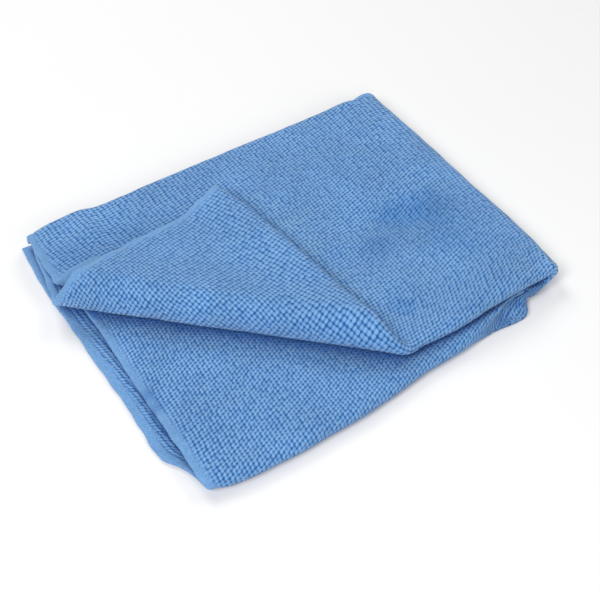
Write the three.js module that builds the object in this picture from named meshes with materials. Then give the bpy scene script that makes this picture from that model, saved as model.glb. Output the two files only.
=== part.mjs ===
// Microfibre cleaning cloth, folded in half and in half again, lying flat with one corner turned back.
// One closed solid: the hemmed cloth is a single sheet followed through all its folds. Units mm, +Z up.
import * as THREE from "three";

// ---- the flat cloth ----
const CLOTH_LENGTH = 405;
const HALF_WIDTH = 156;
const THICKNESS = 2.2;
const HEM_WIDTH = 5;

// ---- how the layers stack ----
const LAYER_GAP = 1.5;          // half the distance between the two layers of a doubled pair
const EDGE_FADE = { lower: 6, upper: 12 };        // distance over which a pair closes behind its fold
const SLIP_WIDTH = 30;          // this far from its front fold a pair's layers slide freely over each other
const LOWER_LEVEL = THICKNESS / 2;
const UPPER_LEVEL = 7.9;        // underside layer of the upper pair
const SIDE_RADIUS = (UPPER_LEVEL - LOWER_LEVEL) / 2;
const SIDE_MIDDLE = { front: 182, back: 197 };    // along the cloth, where it is folded at the side

// ---- the turned-back corner ----
const CREASE_ANGLE = THREE.MathUtils.degToRad(-41.8);
const CREASE_OFFSET = 37.2;
const CREASE_RADIUS = { left: 3.9, right: 3.4 };  // of the turn underneath
const ARCH_RADIUS = { left: 8.5, right: 6.5 };    // of the broader arch that follows it
const ARCH_START = THREE.MathUtils.degToRad(105);
const CREASE_SPAN = { from: -110, to: 55 };
const CREASE_SQUEEZE = 14;      // the layers are drawn together this far before the crease
const FLAP_DESCENT = THREE.MathUtils.degToRad(10);
const FLAP_SETTLE_RADIUS = 40;
const FLAP_REST = 7.4;
const INNER_CREASE_LEAD = 8;    // how far the inner layer turns before the outer one at the left hem
const INNER_CREASE_TIGHTER = 0.8;

// ---- the upper pair's back hem, which hangs down behind ----
const BACK_TURN = { radius: 3.5, length: 8.6, angle: THREE.MathUtils.degToRad(68), fromX: 96, toX: 84 };

// ---- the slanting side fold, and the tuck at its front end ----
const SIDE_PULL = { back: 6, front: 12, fromX: 30, toX: 104, fromZ: 9, toZ: 2 };
const LEAN_FADE = 16;
const TUCK = { x: 70, length: 20, width: 3.4, depth: 0.7 };

const BLUE = 0x6a9ad6;

// Left hem of each layer: x against the share of the way from the front fold to the back hem.
const LEFT_HEM = {
  lowerOuter: [
    { share: 0, x: -91 },
    { share: 0.045, x: -93 },
    { share: 0.085, x: -96.5 },
    { share: 0.13, x: -100.2 },
    { share: 0.3, x: -100.8 },
    { share: 0.6, x: -103.2 },
    { share: 0.85, x: -105 },
    { share: 1, x: -104.2 },
  ],
  lowerInner: [
    { share: 0, x: -92.5 },
    { share: 0.3, x: -93.5 },
    { share: 0.6, x: -94.5 },
    { share: 1, x: -97 },
  ],
  upperInner: [
    { share: 0, x: -116 },
    { share: 0.08, x: -114.3 },
    { share: 0.16, x: -112.5 },
    { share: 0.38, x: -113.4 },
    { share: 0.57, x: -110 },
    { share: 0.76, x: -105 },
    { share: 1, x: -101 },
  ],
  upperOuter: [
    { share: 0, x: -116 },
    { share: 0.15, x: -110.5 },
    { share: 0.3, x: -106.5 },
    { share: 0.49, x: -103.5 },
    { share: 0.62, x: -104.5 },
    { share: 0.74, x: -104.5 },
    { share: 0.83, x: -102 },
    { share: 1, x: -101 },
  ],
};

// Middle of the side fold: x against the share of the way from the front fold to the back hem.
const SIDE_CENTRE = [
  { share: 0, x: 95 },
  { share: 0.1, x: 96.2 },
  { share: 0.25, x: 96.2 },
  { share: 0.5, x: 95.4 },
  { share: 0.75, x: 94.6 },
  { share: 0.93, x: 94.2 },
  { share: 1, x: 95.4 },
];

// Half the distance between a pair's layers beside its front fold, where the cloth springs open.
const UPPER_EDGE_GAP = [
  { u: 196, gap: 1.6 },
  { u: 208, gap: 2.5 },
  { u: 228, gap: 2.5 },
  { u: 255, gap: 2 },
];
const LOWER_EDGE_GAP = [
  { x: -95, gap: 2.7 },
  { x: -75, gap: 2.5 },
  { x: -45, gap: 2.2 },
  { x: 20, gap: 2.1 },
  { x: 45, gap: 2.4 },
  { x: 82, gap: 2.3 },
  { x: 94, gap: 1.6 },
];

// How far the lower pair leans forward beside the fold: the top layer's lip and the bottom layer's rim.
const LIP_LEAN = [
  { x: -95, forward: 1.4 },
  { x: -86, forward: 0 },
  { x: 76, forward: 0 },
  { x: 88, forward: 1 },
  { x: 96, forward: 0 },
];
const RIM_LEAN = [
  { x: -95, forward: -6 },
  { x: -90, forward: -4 },
  { x: -80, forward: 0 },
  { x: 36, forward: 0 },
  { x: 52, forward: 2 },
  { x: 70, forward: 3.2 },
  { x: 83, forward: 3.2 },
  { x: 92, forward: 0 },
  { x: 96, forward: 0 },
];

// Front fold of each pair, and the back hem of each layer: y against x.
const FRONT_FOLD = {
  lower: [
    { x: -95, y: -77.2 },
    { x: -83, y: -80.6 },
    { x: -60, y: -82.1 },
    { x: -28, y: -81.6 },
    { x: -6, y: -79.9 },
    { x: 11, y: -77.4 },
    { x: 39, y: -75 },
    { x: 62, y: -72.2 },
    { x: 84, y: -68.6 },
    { x: 104, y: -65.5 },
  ],
  upper: [
    { x: -119, y: -58 },
    { x: -100, y: -61.7 },
    { x: -79, y: -63.3 },
    { x: -46, y: -64.2 },
    { x: -8, y: -64.6 },
    { x: 13, y: -66.8 },
    { x: 35, y: -68.5 },
    { x: 62, y: -67 },
    { x: 104, y: -64 },
  ],
};
const BACK_HEM = {
  lowerInner: [
    { x: -104, y: 79 },
    { x: 104, y: 79 },
  ],
  lowerOuter: [
    { x: -104, y: 84 },
    { x: 0, y: 83 },
    { x: 80, y: 83 },
    { x: 96, y: 79 },
  ],
  upper: [
    { x: -101, y: 86.6 },
    { x: -92, y: 88.8 },
    { x: -84, y: 89.6 },
    { x: -73, y: 90.4 },
    { x: -64, y: 88 },
    { x: -36, y: 89 },
    { x: 22, y: 90.2 },
    { x: 70, y: 91.3 },
    { x: 84, y: 91.8 },
    { x: 92, y: 89 },
    { x: 98, y: 83.5 },
    { x: 104, y: 80 },
  ],
};

// Where the lower pair's top layer stands off the bottom one, and the soft swells and dents of the top.
const STANDING = [
  { x: -92, y: -58, across: 15, height: 2.4 },
  { x: -74, y: -50, across: 17, height: 0.8 },
  { x: -48, y: -66, across: 17, height: 1.2 },
  { x: -12, y: -68, across: 15, height: 1 },
  { x: -84, y: 12, across: 20, height: 0.8 },
  { x: 34, y: -70, across: 14, height: 0.8 },
];
const SWELLS = [
  { x: 58, y: -4, across: 10, height: -1.6 },
  { x: 46, y: 2, across: 11, height: -1.8 },
  { x: 31, y: 7, across: 10, height: -1.4 },
  { x: 18, y: -12, across: 10, height: -1.7 },
  { x: 36, y: -22, across: 9, height: -0.9 },
  { x: 22, y: -50, across: 9, height: -1.5 },
  { x: 74, y: 34, across: 26, height: 1.1 },
  { x: 4, y: 52, across: 30, height: 0.8 },
  { x: 66, y: -40, across: 22, height: 1.6 },
  { x: -74, y: 68, across: 8, height: 1.6 },
  { x: -88, y: 68, across: 8, height: -0.9 },
  { x: 62, y: -70, across: 22, height: 1.6 },
];

// ---- mesh stations ----
const ACROSS = [
  0, 1.2, 2.4, 3.6, 5.5, 9, 15, 24, 35, 46, 57, 68, 78, 87, 94, 100, 104, 108, 112, 116, 120, 124, 128, 134, 140, 146,
  149, 151.5, HALF_WIDTH,
];
const LOWER_COLUMNS = 7;
const SIDE_STEPS = [-9, -7, -5.2, -3.5, -1.8, 0, 1.6, 3.1, 4.6, 6.4, 9];
const UPPER_COLUMNS = 9;
const CREASE_STEPS = [2, 4, 6, 8, 11, 14.5, 18, 21.5, 25, 28.5, 33, 40, 49, 60, 72, 84];
const CREASE_CLEARANCE = 6;
const LAST_COLUMN_CLEARANCE = 3;

const clamp = (value, low, high) => Math.min(Math.max(value, low), high);
const mix = (from, to, share) => from + (to - from) * share;

function ease(from, to, value) {
  const share = clamp((value - from) / (to - from), 0, 1);
  return share * share * (3 - 2 * share);
}

// A smooth curve through a table's rows, held level past its ends.
function follow(rows, key, column, at) {
  const last = rows.length - 1;
  const here = clamp(at, rows[0][key], rows[last][key]);
  let i = 0;
  while (i < last - 1 && here > rows[i + 1][key]) i += 1;
  const slope = (k) => {
    const before = rows[Math.max(k - 1, 0)];
    const after = rows[Math.min(k + 1, last)];
    return (after[column] - before[column]) / (after[key] - before[key]);
  };
  const step = rows[i + 1][key] - rows[i][key];
  const t = (here - rows[i][key]) / step;
  const start = rows[i][column] * (1 + 2 * t) * (1 - t) ** 2 + slope(i) * step * t * (1 - t) ** 2;
  const end = rows[i + 1][column] * t * t * (3 - 2 * t) + slope(i + 1) * step * t * t * (t - 1);
  return start + end;
}

function hill(rows, x, y) {
  let height = 0;
  for (const row of rows) {
    height += row.height * Math.exp(-((x - row.x) ** 2 + (y - row.y) ** 2) / row.across ** 2);
  }
  return height;
}

// The doubled pair laid flat before it is folded again: where the point (u, v) of the cloth comes to.
// u runs from the lower pair's left hem to the upper pair's; v is zero on the front fold.
function doubled(u, v) {
  const distance = Math.abs(v);
  const outer = ease(-6, 6, v);
  const inward = (Math.hypot(v, 6) - 6) / HALF_WIDTH;
  const middle = mix(SIDE_MIDDLE.front, SIDE_MIDDLE.back, inward);
  const sideX = follow(SIDE_CENTRE, "share", "x", inward);
  const roughX = mix(-96, sideX, Math.min(u / (middle - 8), 1));
  const upper = ease(-6, 6, u - middle);
  const gap = mix(follow(LOWER_EDGE_GAP, "x", "gap", roughX), follow(UPPER_EDGE_GAP, "u", "gap", u), upper);

  const turnLength = (Math.PI * gap) / 2;
  const turn = Math.min(distance, turnLength) / gap;
  const beyond = Math.max(distance - turnLength, 0);
  const share = (gap * (1 - Math.cos(turn)) + beyond) / (gap + HALF_WIDTH - turnLength);

  // Round the side fold each layer keeps its own length.
  const squeeze = ease(17, 7, Math.abs(u - middle));
  const fade = 1 / (1 + (beyond / mix(EDGE_FADE.lower, EDGE_FADE.upper, upper)) ** 2);
  const opening = (gap - LAYER_GAP) * fade * (1 - 0.8 * squeeze);
  const sideHalf = LAYER_GAP + opening;
  const slipping = ease(0, SLIP_WIDTH, distance);
  const radius = SIDE_RADIUS + sideHalf * slipping * Math.sign(v);
  const start = middle - (Math.PI * radius) / 2;
  const end = middle + (Math.PI * radius) / 2;
  const angle = clamp((u - start) / radius, 0, Math.PI);
  const lift = ease(0, Math.PI, angle);

  const hemLow = mix(follow(LEFT_HEM.lowerInner, "share", "x", share),
    follow(LEFT_HEM.lowerOuter, "share", "x", share), outer);
  const hemHigh = mix(follow(LEFT_HEM.upperInner, "share", "x", share),
    follow(LEFT_HEM.upperOuter, "share", "x", share), outer);
  let x = sideX;
  if (u < start) x = mix(hemLow, sideX, u / start);
  if (u > end) x = mix(sideX, hemHigh, (u - end) / (CLOTH_LENGTH - end));

  const front = mix(follow(FRONT_FOLD.lower, "x", "y", x), follow(FRONT_FOLD.upper, "x", "y", x), lift);
  const lowerBack = mix(follow(BACK_HEM.lowerInner, "x", "y", x), follow(BACK_HEM.lowerOuter, "x", "y", x), outer);
  const upperBack = follow(BACK_HEM.upper, "x", "y", x) - (BACK_TURN.length + 1) * (1 - outer);
  let y = mix(front, mix(lowerBack, upperBack, lift), share);

  // Beside the fold the lower pair's layers lean in and out, and the fold is tucked in at the right.
  const lean = mix(follow(LIP_LEAN, "x", "forward", x), follow(RIM_LEAN, "x", "forward", x), ease(-5, 10, v));
  const tuck = Math.exp(-(((x - TUCK.x) / TUCK.length) ** 2) - (v / TUCK.width) ** 2);
  y += (TUCK.depth * tuck - lean * Math.exp(-distance / LEAN_FADE)) * (1 - lift);

  const along = x * Math.cos(CREASE_ANGLE) + y * Math.sin(CREASE_ANGLE);
  const across = x * Math.sin(CREASE_ANGLE) - y * Math.cos(CREASE_ANGLE);
  const inner = outer * ease(20, 90, distance) * ease(-60, -110, along);
  const past = across - (CREASE_OFFSET - INNER_CREASE_LEAD * inner);
  const squeezed = ease(-CREASE_SQUEEZE, 0, past) * ease(24 + CREASE_SQUEEZE, 24, past) * lift;
  const standing = (hill(STANDING, x, y) / 2) * (1 - lift) * ease(38, 50, across);
  const half = mix(sideHalf, LAYER_GAP + 0.5 * fade, squeezed) + standing;
  const hanging = y - upperBack + BACK_TURN.length;
  const bend = v > 0 ? BACK_TURN.angle * ease(BACK_TURN.fromX, BACK_TURN.toX, x) * lift : 0;
  const offset = half * Math.sin(turn) * Math.sign(v);
  const slip = offset * slipping;
  return { x, y, half, offset, slip, angle, along, across, inner, past, raised: u > end, hanging, bend };
}

// The profile across the crease: a tight turn, a broader arch, a slope down and a gentle landing.
function creaseProfile(past, radius, arch, slip) {
  const down = Math.cos(FLAP_DESCENT);
  const top = radius * (1 - Math.cos(ARCH_START)) + arch * (Math.cos(ARCH_START) + down);
  const landing = FLAP_SETTLE_RADIUS * (1 - down);
  const slope = Math.max(0, (top - landing - FLAP_REST) / Math.sin(FLAP_DESCENT));
  const bends = [
    { radius, turn: ARCH_START },
    { radius: arch, turn: Math.PI + FLAP_DESCENT - ARCH_START },
  ];
  let reach = 0;
  let height = 0;
  let heading = 0;
  let left = past;
  for (const bend of bends) {
    const length = (bend.radius - slip) * bend.turn;
    const turned = clamp(left, 0, length) / (bend.radius - slip);
    reach += bend.radius * (Math.sin(heading + turned) - Math.sin(heading));
    height += bend.radius * (Math.cos(heading) - Math.cos(heading + turned));
    heading += turned;
    left -= length;
  }
  reach += clamp(left, 0, slope) * Math.cos(heading);
  height += clamp(left, 0, slope) * Math.sin(heading);
  left -= slope;
  const settle = (FLAP_SETTLE_RADIUS + slip) * FLAP_DESCENT;
  const level = clamp(left, 0, settle) / (FLAP_SETTLE_RADIUS + slip);
  reach -= FLAP_SETTLE_RADIUS * (Math.sin(heading - level) - Math.sin(heading)) + Math.max(left - settle, 0);
  height += FLAP_SETTLE_RADIUS * (Math.cos(heading - level) - Math.cos(heading));
  return { reach, height, heading: heading - level };
}

// Middle surface of the cloth at (u, v) once every fold is made.
function folded(u, v) {
  const flat = doubled(u, v);
  const point = new THREE.Vector3();
  if (flat.raised && flat.past > 0) {
    const wide = clamp((flat.along - CREASE_SPAN.from) / (CREASE_SPAN.to - CREASE_SPAN.from), 0, 1);
    const tighter = INNER_CREASE_TIGHTER * flat.inner;
    const radius = mix(CREASE_RADIUS.left, CREASE_RADIUS.right, wide) - tighter;
    const arch = mix(ARCH_RADIUS.left, ARCH_RADIUS.right, wide) - tighter;
    const profile = creaseProfile(flat.past, radius, arch, flat.slip);
    const reach = flat.across - flat.past + profile.reach - Math.sin(profile.heading) * flat.offset;
    point.x = flat.along * Math.cos(CREASE_ANGLE) + reach * Math.sin(CREASE_ANGLE);
    point.y = flat.along * Math.sin(CREASE_ANGLE) - reach * Math.cos(CREASE_ANGLE);
    point.z = UPPER_LEVEL + flat.half + profile.height + Math.cos(profile.heading) * flat.offset;
  } else {
    const radius = SIDE_RADIUS + flat.offset;
    point.x = flat.x + radius * Math.sin(flat.angle);
    point.y = flat.y;
    point.z = (LOWER_LEVEL + UPPER_LEVEL) / 2 + flat.half - radius * Math.cos(flat.angle);
    if (flat.bend > 0 && flat.hanging > 0) {
      const bend = Math.min(flat.hanging / BACK_TURN.radius, flat.bend);
      const below = flat.hanging - BACK_TURN.radius * bend;
      point.y += BACK_TURN.radius * Math.sin(bend) + below * Math.cos(bend) - flat.hanging;
      point.z -= BACK_TURN.radius * (1 - Math.cos(bend)) + below * Math.sin(bend);
    }
  }
  return point;
}

// The lower layers are drawn in at the right, and the top ones swell and sink a little.
function settled(point) {
  const low = ease(SIDE_PULL.fromZ, SIDE_PULL.toZ, point.z);
  const pull = mix(SIDE_PULL.back, SIDE_PULL.front, ease(0, -70, point.y));
  point.x -= pull * ease(SIDE_PULL.fromX, SIDE_PULL.toX, point.x) * low;
  point.z += hill(SWELLS, point.x, point.y) * ease(3, 12, point.z);
  return point;
}

// A point of either face, half a thickness from the middle surface.
function face(u, v, side) {
  const step = 0.05;
  const alongU = folded(u + step, v).sub(folded(u - step, v));
  const alongV = folded(u, v + step).sub(folded(u, v - step));
  const normal = alongU.cross(alongV).normalize();
  return settled(folded(u, v).addScaledVector(normal, (side * THICKNESS) / 2));
}

// Where along row v the cloth is `past` the crease by the given amount, or null if the row ends before it.
function columnAt(v, past) {
  if (doubled(CLOTH_LENGTH, v).past < past) return null;
  let low = SIDE_MIDDLE.back + 20;
  let high = CLOTH_LENGTH;
  for (let i = 0; i < 30; i += 1) {
    const middle = (low + high) / 2;
    if (doubled(middle, v).past < past) low = middle;
    else high = middle;
  }
  return high;
}

// The columns of one row: lower pair, side fold, upper pair, then the crease as far as it is met.
function rowColumns(v) {
  const middle = mix(SIDE_MIDDLE.front, SIDE_MIDDLE.back, Math.abs(v) / HALF_WIDTH);
  const columns = [0, HEM_WIDTH];
  for (let i = 1; i <= LOWER_COLUMNS; i += 1) {
    columns.push(mix(HEM_WIDTH, middle + SIDE_STEPS[0], i / LOWER_COLUMNS));
  }
  for (const step of SIDE_STEPS.slice(1)) columns.push(middle + step);
  const bent = middle + SIDE_STEPS.at(-1);
  const crease = Math.min(columnAt(v, 0) ?? CLOTH_LENGTH, CLOTH_LENGTH - CREASE_CLEARANCE);
  for (let i = 1; i <= UPPER_COLUMNS; i += 1) {
    columns.push(mix(bent, crease, i / UPPER_COLUMNS));
  }
  for (const past of CREASE_STEPS) {
    const u = columnAt(v, past);
    if (u === null || u > CLOTH_LENGTH - LAST_COLUMN_CLEARANCE) break;
    if (u > crease + 1) columns.push(u);
  }
  columns.push(CLOTH_LENGTH);
  return columns;
}

// Joins the rows into one closed skin: both faces and the rim around them.
function clothGeometry() {
  const stations = [...ACROSS.slice(1).reverse().map((v) => -v), ...ACROSS];
  const rows = stations.map((v) => ({ v, columns: rowColumns(v) }));
  const positions = [];
  const index = [];
  for (const row of rows) {
    row.top = row.columns.map((u) => positions.push(...face(u, row.v, 1).toArray()) / 3 - 1);
    row.bottom = row.columns.map((u) => positions.push(...face(u, row.v, -1).toArray()) / 3 - 1);
  }
  const triangle = (a, b, c, flip) => (flip ? index.push(a, c, b) : index.push(a, b, c));
  const quad = (a, b, c, d, flip) => {
    triangle(a, b, c, flip);
    triangle(a, c, d, flip);
  };
  for (let r = 0; r + 1 < rows.length; r += 1) {
    for (const side of ["top", "bottom"]) {
      const near = rows[r][side];
      const far = rows[r + 1][side];
      const flip = side === "bottom";
      const shared = Math.min(near.length, far.length) - 2;
      for (let i = 0; i < shared; i += 1) quad(near[i], near[i + 1], far[i + 1], far[i], flip);
      for (let i = shared; i < near.length - 2; i += 1) triangle(near[i], near[i + 1], far[shared], flip);
      for (let i = shared; i < far.length - 2; i += 1) triangle(near[shared], far[i + 1], far[i], flip);
      quad(near.at(-2), near.at(-1), far.at(-1), far.at(-2), flip);
    }
    quad(rows[r].top[0], rows[r + 1].top[0], rows[r + 1].bottom[0], rows[r].bottom[0], false);
    quad(rows[r].top.at(-1), rows[r].bottom.at(-1), rows[r + 1].bottom.at(-1), rows[r + 1].top.at(-1), false);
  }
  for (const [row, flip] of [[rows[0], false], [rows.at(-1), true]]) {
    for (let i = 0; i + 1 < row.top.length; i += 1) {
      quad(row.top[i], row.bottom[i], row.bottom[i + 1], row.top[i + 1], flip);
    }
  }
  const geometry = new THREE.BufferGeometry();
  geometry.setAttribute("position", new THREE.Float32BufferAttribute(positions, 3));
  geometry.setIndex(index);
  return geometry;
}

// The origin is the middle of the footprint, on the surface the cloth lies on.
function restedAtOrigin(geometry) {
  geometry.computeBoundingBox();
  const box = geometry.boundingBox;
  geometry.translate(-(box.min.x + box.max.x) / 2, -(box.min.y + box.max.y) / 2, -box.min.z);
  geometry.computeVertexNormals();
  return geometry;
}

const part = new THREE.Group();
const material = new THREE.MeshStandardMaterial({ color: BLUE, roughness: 0.95, metalness: 0 });
const cloth = new THREE.Mesh(restedAtOrigin(clothGeometry()), material);
cloth.name = "cloth";
part.add(cloth);
export default part;
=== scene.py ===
"""Microfibre cleaning cloth: one hemmed sheet folded in half twice, its front-left corner turned back.

The folds are worked out in millimetres and the mesh is made in metres, in the CAD part's own frame.
"""
import math

import bpy
import numpy as np
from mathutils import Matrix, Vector


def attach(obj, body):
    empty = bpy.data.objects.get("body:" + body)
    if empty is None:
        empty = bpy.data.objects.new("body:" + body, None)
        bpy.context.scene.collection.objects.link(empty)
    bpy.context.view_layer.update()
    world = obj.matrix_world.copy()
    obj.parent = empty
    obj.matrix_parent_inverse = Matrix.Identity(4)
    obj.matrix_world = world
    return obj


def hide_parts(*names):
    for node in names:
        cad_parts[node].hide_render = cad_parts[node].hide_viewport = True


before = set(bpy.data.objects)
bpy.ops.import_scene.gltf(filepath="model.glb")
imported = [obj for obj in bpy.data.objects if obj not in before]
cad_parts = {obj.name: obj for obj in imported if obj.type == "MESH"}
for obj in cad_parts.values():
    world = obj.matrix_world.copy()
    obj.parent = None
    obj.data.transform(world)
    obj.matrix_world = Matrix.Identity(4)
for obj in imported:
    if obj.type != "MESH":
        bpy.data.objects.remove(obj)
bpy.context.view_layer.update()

MM = 0.001
# The folds are worked out about the middle of the lower pair of layers, and the part about its own.
PACKET_TO_PART = np.array([2.243, -2.781, 0])

# ---- the flat cloth ----
CLOTH_LENGTH = 405.0
HALF_WIDTH = 156.0
THICKNESS = 2.2
HEM_WIDTH = 3.9
HEM_THICKNESS = 2.45
HEM_STEP = 0.4           # either side of the stitches, where the hem thins to the cloth
STITCH_GROOVE = {"depth": 0.3, "width": 0.55}
# How far the edges waver, over what size, up to how far in, and the seeds along and across.
EDGE_WAVE = {"depth": 0.22, "size": 13.0, "reach": 8.0, "seeds": (21, 22)}
# Unevenness of the sheet: (height, size, seed).
UNEVENNESS = [(0.12, 16, 11), (0.10, 38, 12)]

# ---- the mesh's lines ----
GRID = 1.85              # between the lines away from the edges
EDGE_LINES = [0.0, 0.04, 0.16, 0.36, 0.7, 1.25, 2.1, 2.9, 3.4, 3.65, 3.9, 4.15, 4.5, 5.4]
FOLD_LINES = {"up_to": 6.0, "spacing": 0.6}
NORMAL_STEP = 0.05       # for the slopes that give the sheet's normal

# ---- how the knit is pulled ----
ROW_SLANT = 0.46         # rise of the rows along the cloth at its lower end
SLANT_LOSS = 0.00085     # of which this much is lost with each millimetre
COLUMN_LEAN = 0.095      # the same for the columns, across the cloth
LEAN_LOSS = 0.00057
KNIT_SETTLE = 24.0       # from the front fold to where a face has its full share of the bends' stretch
KNIT_MARGIN = 5          # past each end of the cloth, for the sum below
# How close the columns lie: (place along the cloth, share of the usual).
KNIT_TIGHTNESS = [
    (0, 1.06), (100, 1.1), (160, 0.97), (220, 0.82), (245, 0.97), (290, 0.97), (335, 0.88), (405, 0.93),
]

# ---- how the layers stack ----
LAYER_GAP = 1.5
EDGE_FADE = {"lower": 6.0, "upper": 12.0}
SLIP_WIDTH = 30.0
FOLD_BLEND = 6.0         # either side of a fold, where one layer's tables pass into the next one's
LOWER_LEVEL = THICKNESS / 2
UPPER_LEVEL = 7.9
SIDE_RADIUS = (UPPER_LEVEL - LOWER_LEVEL) / 2

# ---- the turned-back corner ----
CREASE_ANGLE = math.radians(-41.8)
CREASE_OFFSET = 37.2
CREASE_RADIUS = {"left": 3.9, "right": 3.4}
ARCH_RADIUS = {"left": 8.5, "right": 6.5}
ARCH_START = math.radians(105)
CREASE_FROM, CREASE_TO = -110.0, 55.0
CREASE_SQUEEZE = 14.0
CREASE_GAP = 0.5         # on top of the layer gap, at the front fold
CREASE_WIDTH = 24.0      # across the cloth, from where it starts to turn to where it lies back
FLAP_DESCENT = math.radians(10)
FLAP_SETTLE_RADIUS = 40.0
FLAP_REST = 7.4
CREASE_BULGE = {"left": 2.0, "right": 2.8}
# The top layer turns back sooner and tighter than the one below, towards its hem.
INNER_CREASE = {"lead": 8.0, "tighter": 0.8, "from_fold": (20, 90), "along": (-60, -110)}

# ---- the upper pair's back hem, which hangs down behind ----
BACK_TURN = {"radius": 3.5, "length": 8.6, "angle": math.radians(68), "from_x": 96.0, "to_x": 84.0}
INNER_SHORTER = 1.0      # the lower layer of the pair ends this much before the turn

# ---- the slanting side fold, and the tuck at its front end ----
SIDE_MIDDLE = {"front": 182.0, "back": 197.0}
SIDE_REACH = 8.0         # how far before the middle the lower pair's length is used up
SIDE_SQUEEZE = {"from": 17.0, "to": 7.0, "share": 0.8}
SIDE_PULL = {"back": 6, "front": 12, "front_y": -70, "from_x": 30, "to_x": 104, "from_z": 9, "to_z": 2}
LEFT_X = -96.0           # about where the lower pair ends
LEAN_FADE = 16.0
LEAN_CHANGE = (-3.0, 8.0)    # across the front fold, where the lip's lean passes into the rim's
TUCK = {"x": 74.0, "length": 18.0, "width": 3.2, "depth": 6.0}

# ---- tables of the layers' edges ----
# Left hem of each layer: (share of the way from the front fold to the back hem, x).
LEFT_HEM = {
    "lower_outer": [
        (0, -91), (0.045, -93), (0.085, -96.5), (0.13, -100.2), (0.3, -100.8), (0.6, -103.2), (0.85, -105),
        (1, -104.2),
    ],
    "lower_inner": [(0, -92.5), (0.3, -93.5), (0.6, -94.5), (1, -97)],
    "upper_inner": [
        (0, -116), (0.08, -114.3), (0.16, -112.5), (0.38, -113.4), (0.57, -110), (0.76, -105), (1, -101),
    ],
    "upper_outer": [
        (0, -115), (0.15, -108.5), (0.3, -104.3), (0.47, -100.8), (0.57, -102.2), (0.63, -100.4),
        (0.72, -100.2), (0.78, -101.2), (0.83, -101.6), (1, -101),
    ],
}
# Half the distance between the lower pair's layers beside its front fold: (x, half gap).
LOWER_EDGE_GAP = [(-95, 2.7), (-75, 2.5), (-45, 2.2), (20, 2.1), (45, 2.4), (82, 2.3), (94, 1.6)]
# The same for the upper pair: (place along the cloth, half gap).
UPPER_EDGE_GAP = [(196, 1.6), (208, 2.5), (228, 2.5), (255, 2)]
# Where the lower pair's top layer stands off the bottom one: (x, y, size across, height).
STANDING = [
    (-92, -58, 15, 2.4),
    (-74, -50, 17, 0.8),
    (-48, -66, 17, 1.2),
    (-12, -68, 15, 1.0),
    (-84, 12, 20, 0.8),
    (34, -70, 14, 0.8),
]
STANDING_FADE = (38, 50)     # across the crease, so that it is gone under the turned-back corner
# How far the lower pair's layers lean forward beside the fold: (x, forward).
LIP_LEAN = [(-95, 1.4), (-86, 0), (78, 0), (96, 2)]
RIM_LEAN = [(-95, -6), (-90, -4), (-80, 0), (36, 0), (52, 5), (68, 12), (79, 16), (86, 15), (92, -1)]
# Middle of the side fold: (share of the way from the front fold to the back hem, x).
SIDE_CENTRE = [(0, 95), (0.1, 96.2), (0.25, 96.2), (0.5, 95.4), (0.75, 94.6), (0.93, 94.2), (1, 95.4)]
# Front fold and back hem of each pair: (x, y).
FRONT_FOLD = {
    "lower": [
        (-95, -77.2), (-83, -80.6), (-60, -82.1), (-28, -81.6), (-6, -79.9), (11, -77.4), (39, -75),
        (62, -72.2), (84, -68.6), (104, -65.5),
    ],
    "upper": [
        (-119, -58), (-100, -61.7), (-79, -63.3), (-46, -64.2), (-8, -64.6), (13, -66.8), (35, -68.5),
        (62, -67), (104, -64),
    ],
}
BACK_HEM = {
    "lower_inner": [(-104, 79), (104, 79)],
    "lower_outer": [(-104, 84), (0, 83), (80, 83), (96, 79)],
    "upper": [
        (-101, 86.6), (-92, 88.8), (-84, 89.6), (-73, 90.4), (-64, 88), (-36, 89), (22, 90.2), (70, 91.3),
        (84, 91.8), (92, 89), (98, 83.5), (104, 80),
    ],
}

# ---- tables of places on the folded cloth ----
SWELL_LEVEL = {"low": 3, "high": 12}
# Soft swells and dents of the top layers: (x, y, size across, height).
SWELLS = [
    (58, -4, 10, -1.6),
    (46, 2, 11, -1.8),
    (31, 7, 10, -1.4),
    (18, -12, 10, -1.7),
    (36, -22, 9, -0.9),
    (22, -50, 9, -1.5),
    (74, 34, 26, 1.1),
    (4, 52, 30, 0.8),
    (66, -40, 22, 1.6),
    (-74, 68, 8, 1.6),
    (-88, 68, 8, -0.9),
    (62, -70, 22, 1.6),
]
# Painted shade (below 0) and painted light (above 0) on the top, partly pressed or brushed pile:
# the darker spots lie in dents, the lighter mostly beside the turned-back corner's edge: (x, y, size across,
# change).
NAP_AND_PAINTED_LIGHT = [
    (53, 1, 9, -1.0),
    (71, -1, 11, -0.9),
    (35, -12, 9, -0.7),
    (13, -9, 9, -0.6),
    (23, -49, 10, -0.9),
    (69, -25, 20, -0.6),
    (-88, 58, 10, -0.6),
    (-62, 57, 14, -0.5),
    (51, 35, 14, -0.3),
    (42, -39, 14, 0.6),
    (30, -59, 8, 0.5),
    (5, 42, 8, 0.6),
    (8, 24, 8, 0.9),
    (9, 4, 8, 1.0),
    (11, -15, 8, 1.0),
    (13, -34, 8, 0.9),
    (15, -52, 7, 0.8),
]
NAP_AND_PAINTED_LIGHT_LEVEL = {"low": 8.5, "high": 10.5}
# Painted shade in folds so deep that little light comes back out of them: (x, y, size across, darkening).
PAINTED_FOLD_SHADE = [
    (62, -72, 5, 0.5),
    (52, -73, 5, 0.4),
    (84, -64.5, 6, 0.5),
    (73, -66, 6, 0.5),
    (-91, -27, 4, 0.6),
    (-91, -36, 4, 0.8),
    (-91, -45, 4, 0.8),
    (-98, 53, 5, 0.9),
]
PAINTED_FOLD_SHADE_LEVEL = {"low": 5.0, "high": 6.5}


def mix(a, b, share):
    return a + (b - a) * share


def ease(start, end, value):
    share = np.clip((value - start) / (end - start), 0, 1)
    return share * share * (3 - 2 * share)


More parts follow.
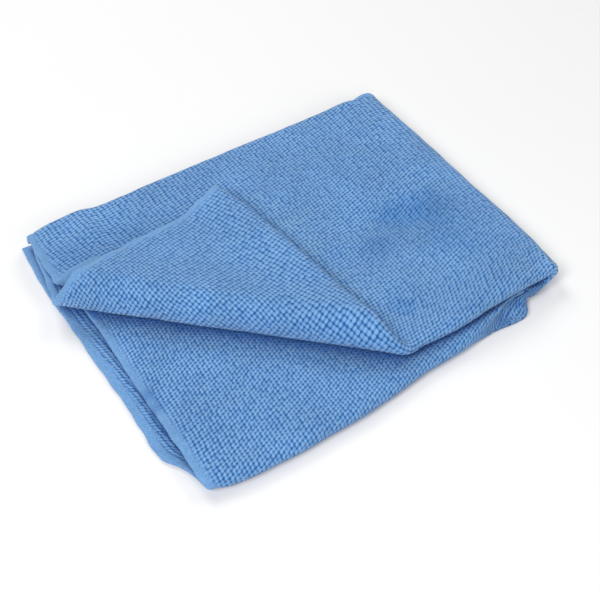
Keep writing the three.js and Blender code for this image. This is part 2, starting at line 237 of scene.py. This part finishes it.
def follow(rows, at):
    """A smooth curve through a table's rows, held level past its ends."""
    x, y = np.array(rows, float).T
    index = np.arange(len(x))
    before = np.maximum(index - 1, 0)
    after = np.minimum(index + 1, len(x) - 1)
    slope = (y[after] - y[before]) / (x[after] - x[before])
    here = np.clip(at, x[0], x[-1])
    i = np.clip(np.searchsorted(x, here) - 1, 0, len(x) - 2)
    step = x[i + 1] - x[i]
    t = (here - x[i]) / step
    start = y[i] * (1 + 2 * t) * (1 - t) ** 2 + slope[i] * step * t * (1 - t) ** 2
    end = y[i + 1] * t * t * (3 - 2 * t) + slope[i + 1] * step * t * t * (t - 1)
    return start + end


def hill(rows, x, y):
    """The height of a table's round hills at (x, y)."""
    height = np.zeros_like(x)
    for hill_x, hill_y, across, tall in rows:
        height = height + tall * np.exp(-((x - hill_x) ** 2 + (y - hill_y) ** 2) / across ** 2)
    return height


def doubled(u, v):
    """The doubled pair laid flat before it is folded again. v is zero on the front fold."""
    distance = np.abs(v)
    outer = ease(-FOLD_BLEND, FOLD_BLEND, v)
    inward = (np.hypot(v, FOLD_BLEND) - FOLD_BLEND) / HALF_WIDTH
    middle = mix(SIDE_MIDDLE["front"], SIDE_MIDDLE["back"], inward)
    side_x = follow(SIDE_CENTRE, inward)
    rough_x = mix(LEFT_X, side_x, np.minimum(u / (middle - SIDE_REACH), 1))
    upper = ease(-FOLD_BLEND, FOLD_BLEND, u - middle)
    gap = mix(follow(LOWER_EDGE_GAP, rough_x), follow(UPPER_EDGE_GAP, u), upper)

    turn_length = math.pi * gap / 2
    turn = np.minimum(distance, turn_length) / gap
    beyond = np.maximum(distance - turn_length, 0)
    share = (gap * (1 - np.cos(turn)) + beyond) / (gap + HALF_WIDTH - turn_length)
    hem_low = mix(follow(LEFT_HEM["lower_inner"], share), follow(LEFT_HEM["lower_outer"], share), outer)
    hem_high = mix(follow(LEFT_HEM["upper_inner"], share), follow(LEFT_HEM["upper_outer"], share), outer)

    # the bend round the side: each layer keeps its own length
    squeeze = ease(SIDE_SQUEEZE["from"], SIDE_SQUEEZE["to"], np.abs(u - middle))
    fade = 1 / (1 + (beyond / mix(EDGE_FADE["lower"], EDGE_FADE["upper"], upper)) ** 2)
    side_half = LAYER_GAP + (gap - LAYER_GAP) * fade * (1 - SIDE_SQUEEZE["share"] * squeeze)
    slipping = ease(0, SLIP_WIDTH, distance)
    side_radius = SIDE_RADIUS + side_half * slipping * np.sign(v)
    start = middle - math.pi * side_radius / 2
    end = middle + math.pi * side_radius / 2
    angle = np.clip((u - start) / side_radius, 0, math.pi)
    low_x = mix(hem_low, side_x, np.minimum(u / start, 1))
    high_x = mix(side_x, hem_high, np.maximum((u - end) / (CLOTH_LENGTH - end), 0))
    x = np.where(u < start, low_x, np.where(u > end, high_x, side_x))
    lift = ease(0, math.pi, angle)
    front = mix(follow(FRONT_FOLD["lower"], x), follow(FRONT_FOLD["upper"], x), lift)
    upper_back = follow(BACK_HEM["upper"], x) - (BACK_TURN["length"] + INNER_SHORTER) * (1 - outer)
    lower_back = mix(follow(BACK_HEM["lower_inner"], x), follow(BACK_HEM["lower_outer"], x), outer)
    back = mix(lower_back, upper_back, lift)
    y = mix(front, back, share)

    # beside the fold the lower pair's layers lean in and out, and the fold is tucked in at the right
    lean = mix(follow(LIP_LEAN, x), follow(RIM_LEAN, x), ease(*LEAN_CHANGE, v))
    y = y - lean * np.exp(-distance / LEAN_FADE) * (1 - lift)
    tuck = np.exp(-((x - TUCK["x"]) / TUCK["length"]) ** 2 - (v / TUCK["width"]) ** 2)
    y = y + TUCK["depth"] * tuck * (1 - lift)

    along = x * math.cos(CREASE_ANGLE) + y * math.sin(CREASE_ANGLE)
    across = x * math.sin(CREASE_ANGLE) - y * math.cos(CREASE_ANGLE)
    inner = outer * ease(*INNER_CREASE["from_fold"], distance) * ease(*INNER_CREASE["along"], along)
    past = across - (CREASE_OFFSET - INNER_CREASE["lead"] * inner)
    squeezed = ease(-CREASE_SQUEEZE, 0, past) * ease(CREASE_WIDTH + CREASE_SQUEEZE, CREASE_WIDTH, past) * lift
    half = mix(side_half, LAYER_GAP + CREASE_GAP * fade, squeezed)
    half = half + hill(STANDING, x, y) / 2 * (1 - lift) * ease(*STANDING_FADE, across)
    offset = half * np.sin(turn) * np.sign(v)
    bend = BACK_TURN["angle"] * ease(BACK_TURN["from_x"], BACK_TURN["to_x"], x) * lift * (v > 0)
    return {
        "x": x, "y": y, "half": half, "offset": offset, "slip": offset * slipping, "angle": angle,
        "turn": turn, "along": along, "across": across, "inner": inner, "past": past, "raised": u > end,
        "hanging": y - upper_back + BACK_TURN["length"], "bend": bend,
    }


def crease_profile(past, radius, arch, slip, bulge):
    """Across the crease: a tight turn, an arch, a slope down and a gentle landing on the cloth below."""
    top = radius * (1 - math.cos(ARCH_START)) + arch * (math.cos(ARCH_START) + math.cos(FLAP_DESCENT))
    landing = FLAP_SETTLE_RADIUS * (1 - math.cos(FLAP_DESCENT))
    slope = np.maximum(0, (top - landing - FLAP_REST) / math.sin(FLAP_DESCENT))
    reach = np.zeros_like(past)
    height = np.zeros_like(past)
    heading = np.zeros_like(past)
    left = past
    for bend, turn in ((radius, ARCH_START), (arch, math.pi + FLAP_DESCENT - ARCH_START)):
        length = (bend - slip) * turn
        turned = np.clip(left, 0, length) / (bend - slip)
        reach = reach + bend * (np.sin(heading + turned) - np.sin(heading))
        height = height + bend * (np.cos(heading) - np.cos(heading + turned))
        heading = heading + turned
        left = left - length
    heading_out = heading
    down = np.clip(left, 0, slope)
    reach = reach + down * np.cos(heading)
    height = height + down * np.sin(heading)
    left = left - slope
    length = (FLAP_SETTLE_RADIUS + slip) * FLAP_DESCENT
    turned = np.clip(left, 0, length) / (FLAP_SETTLE_RADIUS + slip)
    reach = reach - FLAP_SETTLE_RADIUS * (np.sin(heading - turned) - np.sin(heading))
    height = height + FLAP_SETTLE_RADIUS * (np.cos(heading - turned) - np.cos(heading))
    heading = heading - turned
    reach = reach - np.maximum(left - length, 0) + bulge * np.sin(np.minimum(heading_out, math.pi))
    return reach, height, heading


def folded(u, v, heading_only=False):
    """Middle surface of the cloth at (u, v) once folded, or only how far it has turned at the crease."""
    flat = doubled(u, v)
    cos_a, sin_a = math.cos(CREASE_ANGLE), math.sin(CREASE_ANGLE)
    wide = np.clip((flat["along"] - CREASE_FROM) / (CREASE_TO - CREASE_FROM), 0, 1)
    tighter = INNER_CREASE["tighter"] * flat["inner"]
    radius = mix(CREASE_RADIUS["left"], CREASE_RADIUS["right"], wide) - tighter
    arch = mix(ARCH_RADIUS["left"], ARCH_RADIUS["right"], wide) - tighter
    bulge = mix(CREASE_BULGE["left"], CREASE_BULGE["right"], wide)
    reach, height, heading = crease_profile(np.maximum(flat["past"], 0), radius, arch, flat["slip"], bulge)
    if heading_only:
        return np.where(flat["raised"] & (flat["past"] > 0), heading, 0)
    reach = flat["across"] - flat["past"] + reach - np.sin(heading) * flat["offset"]
    turned = np.stack([
        flat["along"] * cos_a + reach * sin_a,
        flat["along"] * sin_a - reach * cos_a,
        UPPER_LEVEL + flat["half"] + height + np.cos(heading) * flat["offset"],
    ], -1)
    radius = SIDE_RADIUS + flat["offset"]
    hang = np.maximum(flat["hanging"], 0)
    bend = np.minimum(hang / BACK_TURN["radius"], flat["bend"])
    below = np.maximum(hang - BACK_TURN["radius"] * flat["bend"], 0)
    level = np.stack([
        flat["x"] + radius * np.sin(flat["angle"]),
        flat["y"] + (BACK_TURN["radius"] * np.sin(bend) + below * np.cos(bend) - hang) * (flat["bend"] > 0),
        (LOWER_LEVEL + UPPER_LEVEL) / 2 + flat["half"] - radius * np.cos(flat["angle"])
        - (BACK_TURN["radius"] * (1 - np.cos(bend)) + below * np.sin(bend)) * (flat["bend"] > 0),
    ], -1)
    return np.where((flat["raised"] & (flat["past"] > 0))[..., None], turned, level)


def settled(point):
    """The lower layers are drawn in at the right, and the top ones swell and sink a little."""
    x, y, z = point[..., 0].copy(), point[..., 1].copy(), point[..., 2].copy()
    low = ease(SIDE_PULL["from_z"], SIDE_PULL["to_z"], z)
    pull = mix(SIDE_PULL["back"], SIDE_PULL["front"], ease(0, SIDE_PULL["front_y"], y))
    x -= pull * ease(SIDE_PULL["from_x"], SIDE_PULL["to_x"], x) * low
    z += hill(SWELLS, x, y) * ease(SWELL_LEVEL["low"], SWELL_LEVEL["high"], z)
    return np.stack([x, y, z], -1)


def smooth_noise(u, v, size, seed):
    """Soft irregular waves over the cloth, about -1 to 1, with features about `size` mm across."""
    draw = np.random.default_rng(seed)
    total = np.zeros_like(u)
    waves = 14
    for _ in range(waves):
        angle, phase = draw.uniform(0, 2 * math.pi, 2)
        k = 2 * math.pi / (size * draw.uniform(0.7, 1.6))
        total += np.sin(k * (u * math.cos(angle) + v * math.sin(angle)) + phase)
    return total / math.sqrt(waves / 2) * 0.6


def edge_distance(u, v):
    """How far a point of the flat cloth is from its nearest edge."""
    return np.minimum(np.minimum(u, CLOTH_LENGTH - u), HALF_WIDTH - np.abs(v))


def half_thickness(edge):
    """Half the cloth's thickness at a distance from its edge: a rounded rim, a hem and a stitched groove."""
    hem = HEM_THICKNESS / 2
    rim = np.sqrt(np.clip(1 - (1 - np.clip(edge / hem, 0, 1)) ** 2, 0, 1))
    body = mix(hem, THICKNESS / 2, ease(HEM_WIDTH - HEM_STEP, HEM_WIDTH + HEM_STEP, edge))
    groove = STITCH_GROOVE["depth"] * np.exp(-((edge - HEM_WIDTH) / STITCH_GROOVE["width"]) ** 2)
    return rim * body - groove


def face(u, v, side):
    """A point of either face of the cloth, side 1 or -1, with its edges a little wavy."""
    edge = edge_distance(u, v)
    uneven = sum(height * smooth_noise(u, v, size, seed) for height, size, seed in UNEVENNESS)
    wavy = EDGE_WAVE["depth"] * ease(EDGE_WAVE["reach"], 0, edge)
    wave_u, wave_v = (wavy * smooth_noise(u, v, EDGE_WAVE["size"], seed) for seed in EDGE_WAVE["seeds"])
    u = u + wave_u
    v = v + wave_v
    along_u = folded(u + NORMAL_STEP, v) - folded(u - NORMAL_STEP, v)
    along_v = folded(u, v + NORMAL_STEP) - folded(u, v - NORMAL_STEP)
    normal = np.cross(along_u, along_v)
    normal /= np.linalg.norm(normal, axis=-1, keepdims=True)
    lift = side * half_thickness(edge) + uneven
    return settled(folded(u, v) + normal * lift[..., None])


def knit_place(u, v, side):
    """Where a point of either face lies in the knit, in millimetres.

    The face on the outside of a bend takes up more knit than the middle of the sheet, and the other less.
    """
    flat = doubled(u, v)
    half = side * THICKNESS / 2 * np.sign(v)
    spread = half * ease(0, KNIT_SETTLE, np.abs(v))
    crease = spread * folded(u, v, heading_only=True)
    fine = np.arange(-KNIT_MARGIN, CLOTH_LENGTH + KNIT_MARGIN)
    evened = np.interp(u, fine, np.cumsum(follow(KNIT_TIGHTNESS, fine)))
    place_u = evened - spread * flat["angle"] - crease * math.sin(CREASE_ANGLE)
    place_v = v - half * flat["turn"] - np.sign(v) * crease * math.cos(CREASE_ANGLE)
    place_u = place_u + v * (COLUMN_LEAN - LEAN_LOSS * u)
    place_v = place_v + u * (ROW_SLANT - SLANT_LOSS / 2 * u)
    return np.stack([place_u, place_v], -1)


def stations(stops):
    """Grid lines from a list of (end, spacing) runs."""
    lines = [0.0]
    for end, spacing in stops:
        count = max(1, round((end - lines[-1]) / spacing))
        lines += list(np.linspace(lines[-1], end, count + 1)[1:])
    return np.array(lines)


def cloth_object():
    """The whole sheet as one closed mesh, with both faces on the same grid and a rim that they share."""
    edge = np.array(EDGE_LINES)
    middle = np.arange(edge[-1] + GRID, CLOTH_LENGTH - edge[-1] - GRID / 2, GRID)
    us = np.concatenate([edge, middle, CLOTH_LENGTH - edge[::-1]])
    from_fold = stations([(FOLD_LINES["up_to"], FOLD_LINES["spacing"]), (HALF_WIDTH - edge[-1] - GRID, GRID)])
    half = np.concatenate([from_fold, HALF_WIDTH - edge[::-1]])
    vs = np.concatenate([-half[:0:-1], half])
    uu, vv = np.meshgrid(us, vs)
    rows, cols = uu.shape
    border = np.zeros((rows, cols), bool)
    border[0] = border[-1] = True
    border[:, 0] = border[:, -1] = True
    top_id = np.arange(rows * cols).reshape(rows, cols)
    inner = ~border
    bottom_id = top_id.copy()
    bottom_id[inner] = rows * cols + np.arange(inner.sum())
    points = np.concatenate([face(uu, vv, 1.0).reshape(-1, 3), face(uu, vv, -1.0)[inner]])
    flat_uv = np.stack([uu / CLOTH_LENGTH, (vv + HALF_WIDTH) / (2 * HALF_WIDTH)], -1)
    flat_uv = np.concatenate([flat_uv.reshape(-1, 2), flat_uv[inner]])

    def quads(ids, flip):
        a, b, c, d = ids[:-1, :-1], ids[:-1, 1:], ids[1:, 1:], ids[1:, :-1]
        order = (a, d, c, b) if flip else (a, b, c, d)
        return np.stack(order, -1).reshape(-1, 4)

    faces = np.concatenate([quads(top_id, False), quads(bottom_id, True)])
    x, y, z = points.T
    shown_face = np.repeat([0, 1], [rows * cols, inner.sum()])
    point_values = {
        # painted shade and painted light of the pile patches
        "nap_and_painted_light": hill(NAP_AND_PAINTED_LIGHT, x, y) * ease(NAP_AND_PAINTED_LIGHT_LEVEL["low"], NAP_AND_PAINTED_LIGHT_LEVEL["high"], z) * shown_face,
        # painted shade in the deep folds
        "painted_fold_shade": hill(PAINTED_FOLD_SHADE, x, y) * ease(PAINTED_FOLD_SHADE_LEVEL["high"], PAINTED_FOLD_SHADE_LEVEL["low"], z),
    }
    points = points + PACKET_TO_PART
    points[:, 2] = np.maximum(points[:, 2], 0)
    knit = np.concatenate([knit_place(uu, vv, 1.0).reshape(-1, 2), knit_place(uu, vv, -1.0)[inner]])
    uv_maps = {"cloth_uv": flat_uv, "knit_uv": knit / CLOTH_LENGTH}
    made = mesh_object("cloth_knit", points * MM, faces, uv_maps)
    for name, values in point_values.items():
        made.data.attributes.new(name, "FLOAT", "POINT").data.foreach_set("value", values.astype(np.float32))
    return made


def mesh_object(name, points, faces, uv_maps=None):
    mesh = bpy.data.meshes.new(name)
    mesh.from_pydata([tuple(p) for p in points], [], [tuple(int(i) for i in f) for f in faces])
    corners = np.empty(len(mesh.loops), np.int32)
    mesh.loops.foreach_get("vertex_index", corners)
    for map_name, uv in (uv_maps or {}).items():
        layer = mesh.uv_layers.new(name=map_name)
        layer.data.foreach_set("uv", uv[corners].astype(np.float32).ravel())
    mesh.shade_smooth()
    mesh.update()
    made = bpy.data.objects.new(name, mesh)
    bpy.context.collection.objects.link(made)
    return made


# ---- materials ----
class Nodes:
    """A small helper for writing a node tree as sums and products."""

    def __init__(self, material):
        material.use_nodes = True
        self.tree = material.node_tree
        self.tree.nodes.clear()

    def add(self, kind, inputs=(), **settings):
        node = self.tree.nodes.new(kind)
        for key, value in settings.items():
            setattr(node, key, value)
        for key, value in dict(inputs).items():
            self.set(node.inputs[key], value)
        return node

    def set(self, socket, value):
        if isinstance(value, bpy.types.NodeSocket):
            self.tree.links.new(value, socket)
        else:
            socket.default_value = value

    def math(self, operation, *values):
        node = self.tree.nodes.new("ShaderNodeMath")
        node.operation = operation
        for socket, value in zip(node.inputs, values):
            self.set(socket, value)
        return node.outputs[0]

    def mix_colour(self, factor, a, b):
        node = self.tree.nodes.new("ShaderNodeMix")
        node.data_type = "RGBA"
        self.set(node.inputs[0], factor)
        self.set(node.inputs[6], a)
        self.set(node.inputs[7], b)
        return node.outputs[2]

    def tint(self, colour, by):
        node = self.add("ShaderNodeVectorMath", {0: colour, 1: by[:3]}, operation="MULTIPLY")
        return node.outputs[0]

    def ramp(self, value, low, high):
        node = self.add("ShaderNodeMapRange", {"Value": value, "From Min": low, "From Max": high},
                        interpolation_type="SMOOTHSTEP")
        return node.outputs[0]

    def noise(self, vector, scale, detail=2.0, roughness=0.5):
        node = self.add("ShaderNodeTexNoise", {"Vector": vector, "Scale": scale, "Detail": detail,
                                               "Roughness": roughness})
        return node.outputs[0]


PEARL_COLUMN = 1.9       # mm between the knit's columns
PEARL_ROW = 1.69         # mm between its rows
PEARL_IRREGULARITY = 0.2
PEARL_SIZE = 0.56        # of the spacing, from a nub's middle to the gap round it
PEARL_HEIGHT = 0.8       # mm
PEARL_SPREAD = 0.35      # how unlike the nubs are in height and tone
DRIFT = {"scale": 0.04, "span": 2.4}         # mm that the rows wander by
RAGGED = {"scale": 0.5, "span": 3.2}         # mm that the pearls' end at the hem wanders by
HEM_FADE = (HEM_WIDTH - 2.2, HEM_WIDTH + 1.8)
HEM_THREAD = 1.1         # mm between the hem's cross threads
PATCHES = {"scale": 0.045, "span": 0.36, "low": 0.82}
PEARL_GAP_SHADE = (0.012, 0.125, 0.42, 1)
PEARL_BLUE = (0.208, 0.425, 0.77, 1)
HEM_BLUE = (0.2, 0.4, 0.72, 1)
HEM_SHADE = (0.09, 0.25, 0.53, 1)
PRESSED_AND_SHADED_TINT = (0.60, 0.77, 0.88)
BRUSHED_AND_LIT_TINT = (1.14, 1.05, 0.98)
# Painted shade: the deeper blue for crevices found by ambient occlusion and for the deep folds.
PAINTED_CREVICE_SHADE = (0.14, 0.33, 0.60)
CREVICE_DEPTH = 9.0      # mm
CREVICE_OPEN = (0.78, 0.26)      # shares of open air, from no tint to the full one
SHEEN_TINT = (0.62, 0.82, 1.0, 1)


def knit_material():
    """Rows of pearls that fade into a plain hem, paler on top with painted shade, deeper blue, in the gaps
    and the folds.
    """
    material = bpy.data.materials.new("pearl_knit")
    n = Nodes(material)
    uv = n.add("ShaderNodeUVMap", uv_map="cloth_uv").outputs[0]
    split = n.add("ShaderNodeSeparateXYZ", {0: uv})
    u = n.math("MULTIPLY", split.outputs[0], CLOTH_LENGTH)
    v = n.math("MULTIPLY_ADD", split.outputs[1], 2 * HALF_WIDTH, -HALF_WIDTH)
    place = n.add("ShaderNodeCombineXYZ", {0: u, 1: v}).outputs[0]
    other = n.add("ShaderNodeCombineXYZ", {0: v, 1: u, 2: 40.0}).outputs[0]

    # the knit's own place, whose rows wander a little
    knit_uv = n.add("ShaderNodeUVMap", uv_map="knit_uv").outputs[0]
    knit_split = n.add("ShaderNodeSeparateXYZ", {0: knit_uv})
    drift_u = n.math("MULTIPLY_ADD", n.noise(place, DRIFT["scale"]), DRIFT["span"], -DRIFT["span"] / 2)
    drift_v = n.math("MULTIPLY_ADD", n.noise(other, DRIFT["scale"]), DRIFT["span"], -DRIFT["span"] / 2)
    loose_u = n.math("MULTIPLY_ADD", knit_split.outputs[0], CLOTH_LENGTH, drift_u)
    loose_v = n.math("MULTIPLY_ADD", knit_split.outputs[1], CLOTH_LENGTH, drift_v)
    column = n.math("DIVIDE", loose_u, PEARL_COLUMN)
    row = n.math("DIVIDE", loose_v, PEARL_ROW)
    cell = n.add("ShaderNodeCombineXYZ", {0: column, 1: row}).outputs[0]
    pearls = n.add("ShaderNodeTexVoronoi", {"Vector": cell, "Scale": 1.0, "Randomness": PEARL_IRREGULARITY},
                   voronoi_dimensions="2D", feature="F1", distance="EUCLIDEAN")
    from_middle = n.math("DIVIDE", pearls.outputs["Distance"], PEARL_SIZE)
    round_top = n.math("MULTIPLY_ADD", n.math("POWER", from_middle, 2.0), -1.0, 1.0)
    pearl = n.math("SQRT", n.math("MAXIMUM", round_top, 0.0))
    chance = n.add("ShaderNodeSeparateXYZ", {0: pearls.outputs["Color"]}).outputs[0]

    edge = n.math("MINIMUM", n.math("MINIMUM", u, n.math("SUBTRACT", CLOTH_LENGTH, u)),
                  n.math("SUBTRACT", HALF_WIDTH, n.math("ABSOLUTE", v)))
    raggedness = n.math("MULTIPLY_ADD", n.noise(place, RAGGED["scale"]), RAGGED["span"], -RAGGED["span"] / 2)
    knit = n.ramp(n.math("ADD", edge, raggedness), *HEM_FADE)
    fibre = n.noise(place, 2.6, 4.0, 0.75)

    # fine cross threads of the hem
    wander = n.math("MULTIPLY", n.noise(place, 0.4), 9.0)
    threads = n.math("SINE", n.math("MULTIPLY_ADD", n.math("ADD", u, v), 2 * math.pi / HEM_THREAD, wander))
    threads = n.math("MULTIPLY_ADD", threads, 0.12, n.math("MULTIPLY", n.noise(place, 0.9, 3.0), 0.9))

    height = n.math("MULTIPLY", pearl, n.math("MULTIPLY_ADD", chance, PEARL_SPREAD, 0.75))
    height = n.add("ShaderNodeMix", {0: knit, 2: threads, 3: height}).outputs[0]
    height = n.math("MULTIPLY_ADD", fibre, 0.30, height)
    bump = n.add("ShaderNodeBump", {
        "Height": height, "Strength": 1.0, "Distance": PEARL_HEIGHT * MM,
    }).outputs[0]

    # painted shade: the gaps between the pearls are coloured deeper blue, with a random tone from the fibres
    tone = n.math("MULTIPLY", pearl, n.math("MULTIPLY_ADD", chance, PEARL_SPREAD, 0.72))
    tone = n.math("ADD", tone, n.math("MULTIPLY_ADD", fibre, 0.5, -0.25))
    surface = n.mix_colour(n.ramp(tone, 0.05, 0.95), PEARL_GAP_SHADE, PEARL_BLUE)
    mottle = n.math("MULTIPLY_ADD", n.noise(other, 0.8, 4.0, 0.7), 1.6, -0.05)
    colour = n.mix_colour(knit, n.mix_colour(mottle, HEM_SHADE, HEM_BLUE), surface)
    patches = n.math("MULTIPLY_ADD", n.noise(place, PATCHES["scale"], 3.0), PATCHES["span"], PATCHES["low"])
    colour = n.add("ShaderNodeVectorMath", {0: colour, 3: patches}, operation="SCALE").outputs[0]

    # pressed and brushed pile with painted shade and light, and painted shade, deeper blue, in crevices and
    # deep folds
    nap_and_painted_light = n.add("ShaderNodeAttribute", attribute_name="nap_and_painted_light").outputs["Fac"]
    # painted shade in the dents and painted light beside the corner's edge, partly pressed or brushed pile
    colour = n.mix_colour(n.ramp(nap_and_painted_light, 0.0, -1.0), colour, n.tint(colour, PRESSED_AND_SHADED_TINT))
    colour = n.mix_colour(n.ramp(nap_and_painted_light, 0.0, 1.0), colour, n.tint(colour, BRUSHED_AND_LIT_TINT))
    open_air = n.add("ShaderNodeAmbientOcclusion", {"Distance": CREVICE_DEPTH * MM}, samples=8).outputs["AO"]
    colour = n.mix_colour(n.ramp(open_air, *CREVICE_OPEN), colour, n.tint(colour, PAINTED_CREVICE_SHADE))
    painted_fold_shade = n.add("ShaderNodeAttribute", attribute_name="painted_fold_shade").outputs["Fac"]
    colour = n.mix_colour(n.ramp(painted_fold_shade, 0.0, 1.0), colour, n.tint(colour, PAINTED_CREVICE_SHADE))
    shader = n.add("ShaderNodeBsdfPrincipled", {
        "Base Color": colour, "Roughness": 0.95, "Normal": bump, "Sheen Weight": 0.6, "Sheen Roughness": 0.35,
        "Specular IOR Level": 0.15,
    })
    shader.inputs["Sheen Tint"].default_value = SHEEN_TINT
    n.add("ShaderNodeOutputMaterial", {"Surface": shader.outputs[0]})
    return material


FLOOR_REACH = 3.0        # m
FLOOR_WHITES = ((0.86, 0.86, 0.86, 1), (0.9, 0.9, 0.9, 1))


def floor_object():
    """A plain pale floor."""
    corners = [(x * FLOOR_REACH, y * FLOOR_REACH, 0) for x, y in ((-1, -1), (1, -1), (1, 1), (-1, 1))]
    made = mesh_object("floor", corners, [(0, 1, 2, 3)])
    material = bpy.data.materials.new("floor_white")
    n = Nodes(material)
    place = n.add("ShaderNodeTexCoord").outputs["Object"]
    shade = n.mix_colour(n.noise(place, 3.0), *FLOOR_WHITES)
    shader = n.add("ShaderNodeBsdfPrincipled", {"Base Color": shade, "Roughness": 0.8})
    n.add("ShaderNodeOutputMaterial", {"Surface": shader.outputs[0]})
    made.data.materials.append(material)
    return made


def area_light(name, place, size, power):
    """A round soft box that faces the middle of the scene."""
    light = bpy.data.lights.new(name, "AREA")
    light.shape = "DISK"
    light.size = size
    light.energy = power
    made = bpy.data.objects.new(name, light)
    made.location = place
    made.rotation_mode = "QUATERNION"
    made.rotation_quaternion = (-place).to_track_quat("-Z", "Y")
    bpy.context.collection.objects.link(made)


def direction(azimuth, elevation):
    """The unit vector to a place round the part, from its front and up from the floor."""
    level = math.cos(elevation)
    return Vector((math.sin(azimuth) * level, -math.cos(azimuth) * level, math.sin(elevation)))


# ---- camera ----
CAMERA_AZIMUTH = math.radians(-31.76)
CAMERA_ELEVATION = math.radians(49.19)
CAMERA_DISTANCE = 0.45913
CAMERA_TARGET = Vector(PACKET_TO_PART + np.array([-7.19, -11.55, 0])) * MM
CAMERA_LENS = 60

camera_data = bpy.data.cameras.new("camera")
camera_data.lens = CAMERA_LENS
camera_data.clip_start = 0.01
camera = bpy.data.objects.new("camera", camera_data)
camera_back = direction(CAMERA_AZIMUTH, CAMERA_ELEVATION)
camera.location = CAMERA_TARGET + camera_back * CAMERA_DISTANCE
camera.rotation_mode = "QUATERNION"
camera.rotation_quaternion = (-camera_back).to_track_quat("-Z", "Y")
bpy.context.collection.objects.link(camera)
bpy.context.scene.camera = camera

# ---- the cloth ----
cloth = cloth_object()
cloth.data.materials.append(knit_material())
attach(cloth, "root")
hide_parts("cloth")

floor = floor_object()

# ---- light ----
LIGHT_DISTANCE = 1.4
# Soft boxes: (name, degrees round from the camera, degrees up, size, watts).
STUDIO_LIGHTS = [
    ("left_key", 315, 47, 0.7, 10.5),
    ("front_fill", 8, 40, 0.8, 6.4),
    ("right_fill", 50, 24, 0.7, 3.6),
    ("back_left", 215, 45, 0.7, 7.6),
    ("back_right", 140, 47, 0.7, 4.4),
]
WORLD_LIGHT = 0.08
world = bpy.data.worlds.new("studio")
world.use_nodes = True
world.node_tree.nodes["Background"].inputs[0].default_value = (1.0, 1.0, 1.0, 1)
world.node_tree.nodes["Background"].inputs[1].default_value = WORLD_LIGHT
bpy.context.scene.world = world
bpy.context.scene.view_settings.view_transform = "Standard"
for light_name, turned, height, light_size, power in STUDIO_LIGHTS:
    place = direction(CAMERA_AZIMUTH + math.radians(turned), math.radians(height)) * LIGHT_DISTANCE
    area_light(light_name, place, light_size, power)
